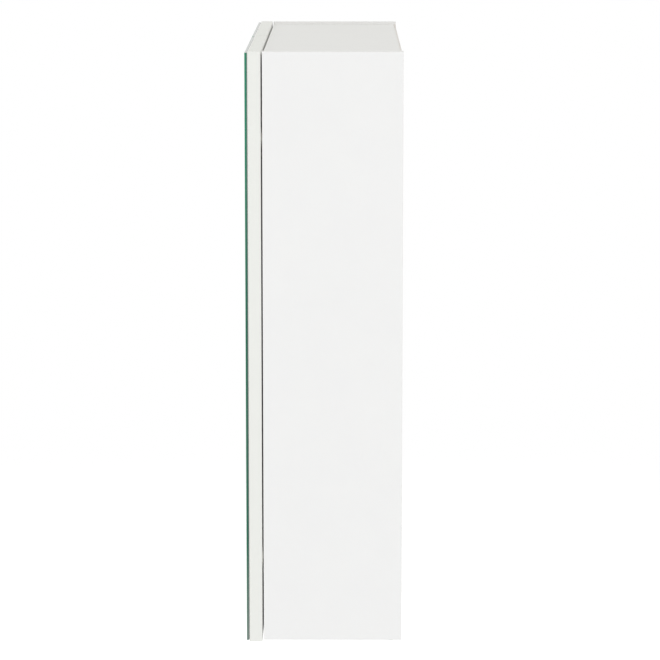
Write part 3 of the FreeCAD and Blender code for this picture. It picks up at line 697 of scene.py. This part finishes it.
nickel = metal("nickel_plated_steel", 0.8, ("C3BFB7", "D3D0C9"), (0.2, 0.31), (1, 0.08, 1))
zinc_plate = metal("zinc_plated_steel", 0.9, ("AEB0B3", "C6C8CA"), (0.28, 0.42))
zinc_cast = metal("zinc_casting", 0.7, ("A4A6A8", "BDBFC1"), (0.36, 0.55))
bright_steel = metal("bright_steel_wire", 1.0, ("8F8C88", "AFACA7"), (0.3, 0.5))
wear(zinc_cast, "cam_locks")
wear(zinc_plate, "cam_bolts")
print("4 metals")

# %% [markdown]
# ## Cup hinges
# A concealed hinge has a cup pressed into the door, an arm that turns on a pin in the cup, and a
# plate on the side board that the arm is screwed to. One hinge is made, for the right door at height
# zero, and then copied to both heights and mirrored to the left. Every place comes from the frame.

# %% Where the hinges are
cup_low, cup_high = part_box("hinge_cup_right_upper")
pin_low, pin_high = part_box("hinge_pins_right")
arm_low, arm_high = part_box("hinge_arm_right_upper")
plate_low, plate_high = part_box("hinge_plate_right_upper")
HINGE_Z = [round(sum(corner.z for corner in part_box("hinge_cup_right_" + level_name)) / 2 / MM, 3)
           for level_name in ("lower", "upper")]
CUP_RIM_R = 18.5
CUP_RIM = 0.7
CUP_X = cup_low.x / MM + CUP_RIM_R
DOOR_BACK_Y = cup_high.y / MM - CUP_RIM
PIN_X = (pin_low.x + pin_high.x) / 2 / MM
PIN_Y = (pin_low.y + pin_high.y) / 2 / MM
SHEET = 1.6
WEB_X = arm_low.x / MM + SHEET / 2
WEB_END_Y = arm_high.y / MM
INNER_X = plate_high.x / MM
PLATE_Y = plate_low.y / MM + 19.0                 # the row of holes that the plate is screwed to
print("hinges at heights", HINGE_Z, "cup at", round(CUP_X, 2), "pin at", round(PIN_X, 2), round(PIN_Y, 2))

# %% [markdown]
# The arm is bent from one strip of sheet. Boxes joined at angles would have no true bends, so it
# starts as one line of vertices, with an extruded vertex for each straight run and a spun one for
# each bend. The line is then pulled up into a strip, its rear part is widened and folded into a
# channel, and the strip gets the thickness of the sheet.

# %% Hinge arm
NECK_HALF = 4.4
NECK_START = 1.2        # from the pin's middle, clear of the eye round it
NECK_BEND = 2.5
CRANK_Y = -165.0        # behind the door's edge the arm goes over to the side board
CRANK_RUN = 8.0
CRANK_BEND = 3.0
SHOULDER = 2.8          # the rear part is wider by this on each side
FLANGE = 7.0
FRONT_SLANT = 4.0       # the flanges' ends are cut aslant
REAR_SLANT = -1.5
FOLD = 1.3


def new_verts(geom):
    """The vertices among what an operator made."""
    return [v for v in geom if isinstance(v, bmesh.types.BMVert)]


def run(bm, tip, way, length):
    """Extrude the tip of a line straight on by a length in mm, and return the new tip."""
    new = bmesh.ops.extrude_vert_indiv(bm, verts=[tip])["verts"][0]
    bmesh.ops.translate(bm, verts=[new], vec=way * length * MM)
    return new


def bend(bm, tip, way, radius, degrees):
    """Spin the tip of a line round a bend, to the left for positive degrees."""
    turn = math.radians(degrees)
    side = Vector((-way.y, way.x, 0)) * math.copysign(1, turn)
    centre = tip.co + side * radius * MM
    last = bmesh.ops.spin(bm, geom=[tip], cent=centre, axis=(0, 0, 1), angle=turn, steps=6,
                          use_duplicate=False)["geom_last"]
    return new_verts(last)[0], Matrix.Rotation(turn, 3, "Z") @ way


def hinge_arm():
    """The cranked arm of the right door at height zero."""
    slope = math.degrees(math.atan2(CUP_X - WEB_X, CRANK_RUN))
    trim = CRANK_BEND * math.tan(math.radians(slope) / 2)
    bm = bmesh.new()
    tip = bm.verts.new(((PIN_X - NECK_START) * MM, PIN_Y * MM, -NECK_HALF * MM))
    way = Vector((-1, 0, 0))
    tip = run(bm, tip, way, PIN_X - NECK_START - CUP_X - NECK_BEND)
    tip, way = bend(bm, tip, way, NECK_BEND, -90)
    tip = run(bm, tip, way, CRANK_Y - trim - (PIN_Y + NECK_BEND))
    tip, way = bend(bm, tip, way, CRANK_BEND, slope)
    tip = run(bm, tip, way, math.hypot(CUP_X - WEB_X, CRANK_RUN) - 2 * trim)
    tip, way = bend(bm, tip, way, CRANK_BEND, -slope)
    strip = bmesh.ops.extrude_edge_only(bm, edges=bm.edges)["geom"]
    bmesh.ops.translate(bm, verts=new_verts(strip), vec=(0, 0, 2 * NECK_HALF * MM))
    rear = max(v.co.y for v in bm.verts)
    rear_edge = [e for e in bm.edges if all(abs(v.co.y - rear) < 1e-7 for v in e.verts)]
    web = bmesh.ops.extrude_edge_only(bm, edges=rear_edge)["geom"]
    bmesh.ops.translate(bm, verts=new_verts(web), vec=(0, WEB_END_Y * MM - rear, 0))
    web_middle = (WEB_END_Y * MM + rear) / 2
    long_edges = [e for e in bm.edges if abs(e.verts[0].co.y - e.verts[1].co.y) > 20 * MM]
    for edge in long_edges:
        up = math.copysign(1, edge.verts[0].co.z)
        outer = bmesh.ops.extrude_edge_only(bm, edges=[edge])["geom"]
        bmesh.ops.translate(bm, verts=new_verts(outer), vec=(0, 0, up * SHOULDER * MM))
        fold = [e for e in outer if isinstance(e, bmesh.types.BMEdge)]
        fold = [e for e in fold if abs(e.verts[0].co.y - e.verts[1].co.y) > 20 * MM]
        flange = bmesh.ops.extrude_edge_only(bm, edges=fold)["geom"]
        corners = new_verts(flange)
        bmesh.ops.translate(bm, verts=corners, vec=(FLANGE * MM, 0, 0))
        for corner in corners:
            corner.co.y += (FRONT_SLANT if corner.co.y < web_middle else REAR_SLANT) * MM
        round_edges(bm, fold, FOLD, 4)
    strip = given_thickness(bm, SHEET, 0.25)
    eye = turned([(1.05, -NECK_HALF), (1.6, -NECK_HALF), (1.8, -4.2), (1.8, 4.2), (1.6, NECK_HALF),
                  (1.05, NECK_HALF), (1.05, -NECK_HALF)], (PIN_X, PIN_Y, 0))
    return gathered([strip, eye])


arm = hinge_arm()
print("hinge arm has", len(arm.faces), "faces")

# %% [markdown]
# The cup is a deep-drawn bowl with a thin rim, which sits on the door's back. A hollowed cylinder
# would miss the soft bend at the floor and the rolled rim, so it is a spun profile. Beside the side
# board the rim is trimmed, and two tabs carry the screws: each is a disc whose inner half is drawn
# in to the bowl. Two small lugs in the bowl hold the pin.

# %% Hinge cup
BOWL_R = 17.5
TAB_R = 5.5
TAB_INSET = 9.5         # from the cup's middle towards the side board, to clear the arm
TAB_Z = 22.5


def screw_tab(sign):
    """One tab of the cup's rim, above the bowl for a sign of 1 and below it for -1."""
    bm = bmesh.new()
    disc = bmesh.ops.create_circle(bm, cap_ends=True, segments=40, radius=TAB_R * MM)
    bmesh.ops.transform(bm, verts=bm.verts, matrix=Matrix.Rotation(math.pi / 2, 4, "X"))
    for v in disc["verts"]:
        if v.co.z < 1e-6:
            bowl_z = math.sqrt(((BOWL_R + 0.1) * MM) ** 2 - (v.co.x - TAB_INSET * MM) ** 2)
            v.co.z = bowl_z - TAB_Z * MM
    top = bmesh.ops.extrude_face_region(bm, geom=bm.faces[:])["geom"]
    bmesh.ops.translate(bm, verts=new_verts(top), vec=(0, CUP_RIM * MM, 0))
    rim = [e for e in bm.edges if all(v.co.y > 0.6 * MM for v in e.verts)]
    round_edges(bm, rim, 0.25)
    bmesh.ops.translate(bm, verts=bm.verts, vec=Vector((CUP_X - TAB_INSET, DOOR_BACK_Y, TAB_Z)) * MM)
    bmesh.ops.scale(bm, verts=bm.verts, vec=(1, 1, sign))
    face_outwards(bm)
    return bm


def hinge_cup():
    """The cup of the right door at height zero."""
    bowl = turned([(0, 12.7), (13.6, 12.7), (15.2, 12.3), (16.3, 11.2), (16.8, 9.6), (16.8, 0.1),
                   (17.0, -0.4), (17.4, -CUP_RIM), (18.2, -CUP_RIM), (CUP_RIM_R, -0.4), (CUP_RIM_R, 0),
                   (BOWL_R, 0), (BOWL_R, 12.3), (16.3, 13.5), (0, 13.5)],
                  (CUP_X, DOOR_BACK_Y, 0), (0, -1, 0), 64)
    for v in bowl.verts:
        if v.co.x > cup_high.x and v.co.y > DOOR_BACK_Y * MM - 1e-6:
            v.co.x = cup_high.x
    lugs = [rounded_block((PIN_X - 2.2, DOOR_BACK_Y - 12.8, z - 1.3), (PIN_X + 1.6, PIN_Y + 2.2, z + 1.3),
                          3, 0.6, 0.3, axis=2) for z in (-7.0, 7.0)]
    return gathered([bowl, screw_tab(1), screw_tab(-1)] + lugs)


cup = hinge_cup()
print("hinge cup has", len(cup.faces), "faces")

# %% [markdown]
# The plate is a wing with two screws, and a rail that the arm's channel sits on. It is pressed in one
# piece, but one outline with every step in it is hard to edit, and three rounded blocks that overlap
# out of sight look the same.

# %% Hinge plate
PLATE = 1.8


def hinge_plate():
    """The plate on the right side board at height zero."""
    middle = PLATE_Y + 5.0
    wing = rounded_block((INNER_X - PLATE, PLATE_Y - 6.5, -26), (INNER_X, PLATE_Y + 6.5, 26),
                         8, 6.45, 0.35, axis=0)
    base = rounded_block((INNER_X - PLATE, middle - 24, -8), (INNER_X, middle + 24, 8),
                         6, 3.0, 0.35, axis=0)
    rail = rounded_block((WEB_X + SHEET / 2, middle - 22, -6.2), (INNER_X - 1.0, middle + 22, 6.2),
                         4, 1.6, 0.5, axis=0)
    return gathered([wing, base, rail])


plate = hinge_plate()
print("hinge plate has", len(plate.faces), "faces")

# %% [markdown]
# ## Screws
# Each screw has a domed head with a cross recess. A picture of a recess would be lost in the exported
# mesh, so it starts as a small cross, which is sunk into the head and bridged to the rim. Below the
# head a few ridges stand for the thread.

# %% Screws
def screw(place, towards, head_radius, head_height, shank_radius, length):
    """A cross-headed screw in mm, whose head stands on the place and whose shank points onwards."""
    arm_length, half = 0.62 * head_radius, 0.45
    bm = bmesh.new()
    bmesh.ops.create_grid(bm, x_segments=3, y_segments=3, size=1.0)
    for v in bm.verts:
        for axis in (0, 1):
            v.co[axis] = math.copysign(arm_length if abs(v.co[axis]) > 0.5 else half, v.co[axis]) * MM
    corners = [f for f in bm.faces if min(abs(c) for c in f.calc_center_median()[:2]) > 0.5 * half * MM]
    bmesh.ops.delete(bm, geom=corners, context="FACES")
    cross = bm.faces[:]
    walls = bmesh.ops.extrude_face_region(bm, geom=cross)["geom"]
    bmesh.ops.delete(bm, geom=[f for f in cross if f.is_valid], context="FACES")
    sunk = new_verts(walls)
    bmesh.ops.translate(bm, verts=sunk, vec=(0, 0, 0.8 * MM))
    bmesh.ops.scale(bm, verts=sunk, vec=(0.8, 0.8, 1))
    mouth = [e for e in bm.edges if e.is_boundary]
    crown = 0.72
    ring = bmesh.ops.create_circle(bm, cap_ends=False, segments=24, radius=crown * head_radius * MM)
    rim = list({e for v in ring["verts"] for e in v.link_edges})
    bmesh.ops.bridge_loops(bm, edges=mouth + rim)
    outline = [(crown, 0.0), (0.88, 0.14), (0.97, 0.42), (1.0, 0.75), (1.0, 1.0)]
    profile = [(head_radius * r, head_height * z) for r, z in outline]
    profile += [(shank_radius * 0.8, head_height)]
    steps = max(3, int((length - 2) / 1.4))
    for index in range(steps):
        along = head_height + (length - 2) * index / steps
        pitch = (length - 2) / steps
        profile += [(shank_radius * 0.8, along + 0.25 * pitch), (shank_radius, along + 0.6 * pitch)]
    profile += [(shank_radius * 0.75, head_height + length - 1.6), (0, head_height + length)]
    body = turned(profile, steps=24)
    whole = gathered([bm, body])
    bmesh.ops.remove_doubles(whole, verts=whole.verts, dist=0.004 * MM)
    face_outwards(whole)
    stand(whole, Vector(place) - Vector(towards) * head_height, towards)
    return whole


def at_heights(bm, heights):
    """Copies of a mesh at several heights in mm, in one mesh."""
    return gathered([moved(bm, (0, 0, z)) for z in heights])


screw_kinds = {
    "cup": [screw((CUP_X - TAB_INSET, DOOR_BACK_Y + CUP_RIM, z), (0, -1, 0), 3.5, 1.5, 1.6, 12)
            for z in (-TAB_Z, TAB_Z)],
    "plate": [screw((INNER_X - PLATE, PLATE_Y, z), (1, 0, 0), 4.2, 2.0, 2.5, 12) for z in (-16, 16)],
    "arm": [screw((WEB_X - SHEET / 2, PLATE_Y + y, 0), (1, 0, 0), 3.5, 1.6, 2.2, 6) for y in (-14, 14)],
}
screw_sets = {kind: at_heights(gathered(pair), HINGE_Z) for kind, pair in screw_kinds.items()}
print({kind: len(bm.faces) for kind, bm in screw_sets.items()}, "faces")

# %% [markdown]
# Now each part is copied to its place. The cup, its screws and the pin turn with the door. The arm,
# the plate and their screws stay on the side board, so they ride on the carcass.

# %% Hang the hinges
def on_doors(made, node, right, finish):
    """Give the right door a piece and the left door its mirror image."""
    for side_name, part in both_sides(right):
        name = node + "_" + side_name
        add_piece(made + name, part, "door_" + side_name, [finish], [name])


def on_carcass(made, node, right, finish):
    """Put a piece and its mirror image on the carcass, as one mesh."""
    add_piece(made + node, gathered([opposite(right), right]), "carcass", [finish], [node])


for level_name, z in zip(("lower", "upper"), HINGE_Z):
    for part_name, bm in (("arm", arm), ("cup", cup), ("plate", plate)):
        for side_name, part in both_sides(moved(bm, (0, 0, z))):
            node = "hinge_" + part_name + "_" + side_name + "_" + level_name
            body = "door_" + side_name if part_name == "cup" else "carcass"
            add_piece("pressed_" + node, part, body, [nickel], [node])
for bm in (arm, cup, plate):
    bm.free()

pin = turned([(0, -8), (0.8, -8), (1.0, -7.8), (1.0, 7.8), (0.8, 8), (0, 8)], (PIN_X, PIN_Y, 0), steps=20)
on_doors("turned_", "cup_screws", screw_sets["cup"], zinc_plate)
for kind in ("plate", "arm"):
    on_carcass("turned_", kind + "_screws", screw_sets[kind], zinc_plate)
on_doors("turned_", "hinge_pins", at_heights(pin, HINGE_Z), zinc_plate)
pin.free()
print("4 hinges with their screws and pins")

# %% [markdown]
# ## Plastic and wood parts
# The caps over the cam fittings and the pads under the sides are moulded polypropylene, which is
# white and a little waxy. The bumpers on the doors are clear cast polyurethane, soft and slightly
# yellow. The dowels that join the boards are beech, and nobody sees them until the cabinet is taken
# apart.

# %% Plastics and beech
white_plastic, plastic_shader, plastic_place = new_finish(
    "moulded_polypropylene", IOR=1.49, Subsurface_Weight=0.08, Subsurface_Scale=1.5 * MM)
grain(white_plastic, plastic_shader, plastic_place, 4, tones=("ECECE9", "F1F1EE"), gloss=(0.3, 0.42))

clear_rubber, rubber_shader, rubber_place = new_finish(
    "clear_polyurethane", Transmission_Weight=0.12, IOR=1.5)
grain(clear_rubber, rubber_shader, rubber_place, 2, 2.0, ("E9E9E1", "F1F1EA"), (0.12, 0.25))

beech, beech_shader, beech_place = new_finish("bare_beech", Roughness=0.6)
along_grain = add_node(beech, "ShaderNodeMapping", {"Scale": (0.06, 1, 1)}, {"Vector": beech_place})
grain(beech, beech_shader, along_grain.outputs[0], 0.7, 4.0, ("A9794E", "CDA373", "E0BD8F"))
wear(beech, "dowels")
print("2 plastics and beech")

# %% [markdown]
# A shelf pin is cast in one piece: a tongue under the shelf, a collar, and a peg in the side board.
# Three cylinders would show where they meet, so it is one spun profile, which is then cut flat where
# the glass lies.

# %% Shelf pins
PIN_ROWS = (PLATE_Y, PLATE_Y + 96.0)
PIN_SEAT = 2.0          # the flat under the glass, above the middle of the hole
PIN_OUT = 11.0          # how far the pin stands out of the board
PIN = [(0, 0), (3.1, 0), (3.6, 0.25), (3.8, 0.8), (3.8, 9.8), (4.3, 9.8), (4.6, 10.1), (4.6, 10.8),
       (4.4, PIN_OUT), (2.5, PIN_OUT), (2.5, 18.2), (1.9, 19), (0, 19)]


def shelf_pin(y, z):
    """A pin in the right side board, whose hole is at this place in mm."""
    pin = turned(PIN, (INNER_X - PIN_OUT, y, z), (1, 0, 0))
    seat = Vector((0, 0, (z + PIN_SEAT) * MM))
    bmesh.ops.bisect_plane(pin, geom=pin.verts[:] + pin.edges[:] + pin.faces[:], plane_co=seat,
                           plane_no=(0, 0, 1), clear_outer=True)
    bmesh.ops.holes_fill(pin, edges=[e for e in pin.edges if e.is_boundary])
    face_outwards(pin)
    return pin


for level_name in ("lower", "upper"):
    node = "shelf_pins_" + level_name
    seat_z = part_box("shelf_" + level_name)[0].z / MM
    pins = gathered([shelf_pin(y, seat_z - PIN_SEAT) for y in PIN_ROWS])
    on_carcass("cast_", node, pins, zinc_cast)
print("8 shelf pins")

# %% [markdown]
# Caps, nails, bumpers and pads are plain turned shapes. A bevelled cylinder would do from afar, but
# each has a small dome, dimple or rounding that catches the light, and a profile can hold it.

# %% Caps and nails
CAP = [(0, 0), (8.6, 0), (8.6, 0.45), (8.45, 0.75), (8.1, 0.95), (7.6, 1.0), (2.3, 1.0), (1.8, 0.9),
       (1.2, 0.75), (0, 0.7)]
CAP_X = INNER_X - 24.0
CAP_ROWS = (-128.0, -40.0)
top_low, top_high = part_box("top_panel")
bottom_low, bottom_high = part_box("bottom_panel")
caps = gathered([turned(CAP, (CAP_X, y, z), (0, 0, way), 48)
                 for z, way in ((top_low.z / MM, -1), (bottom_high.z / MM, 1)) for y in CAP_ROWS])
on_carcass("moulded_", "cam_caps", caps, white_plastic)

NAIL = [(0, 0), (1.3, 0), (1.6, 0.2), (1.6, 0.4), (0.7, 0.6), (0.7, 17.6), (0, 19)]
NAIL_X = [-244.0 + 122.0 * index for index in range(5)]
PANEL_Z = [(top_low.z + top_high.z) / 2 / MM, (bottom_low.z + bottom_high.z) / 2 / MM]
nails = gathered([turned(NAIL, (x, 0, z), (0, -1, 0), 20) for x in NAIL_X for z in PANEL_Z])
add_piece("drawn_back_nails", nails, "carcass", [bright_steel], ["back_nails"])
print("8 caps and 10 nails")

# %% Bumpers and pads
BUMPER = [(0, 0), (3.85, 0), (4.0, 0.15), (3.95, 0.45), (3.6, 0.8), (2.8, 1.1), (1.6, 1.26), (0, 1.3)]
bumper_low, bumper_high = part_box("door_bumpers_right")
bumper_x = (bumper_low.x + bumper_high.x) / 2 / MM
bumpers = gathered([turned(BUMPER, (bumper_x, DOOR_BACK_Y, z), (0, 1, 0), 40) for z in PANEL_Z])
on_doors("cast_", "door_bumpers", bumpers, clear_rubber)

PAD_R = 3.5
PAD = [(0, 0), (3.3, 0), (PAD_R, 0.25), (PAD_R, 1.2), (3.35, 1.6), (2.9, 1.9), (2.2, 2.0), (0, 2.0)]
pad_low, pad_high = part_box("bottom_pads")
pad_y = (pad_low.y + pad_high.y) / 2 / MM
pad = turned(PAD, (pad_high.x / MM - PAD_R, pad_y, pad_high.z / MM), (0, 0, -1), 32)
on_carcass("moulded_", "bottom_pads", pad, white_plastic)
print("4 bumpers and 2 pads")
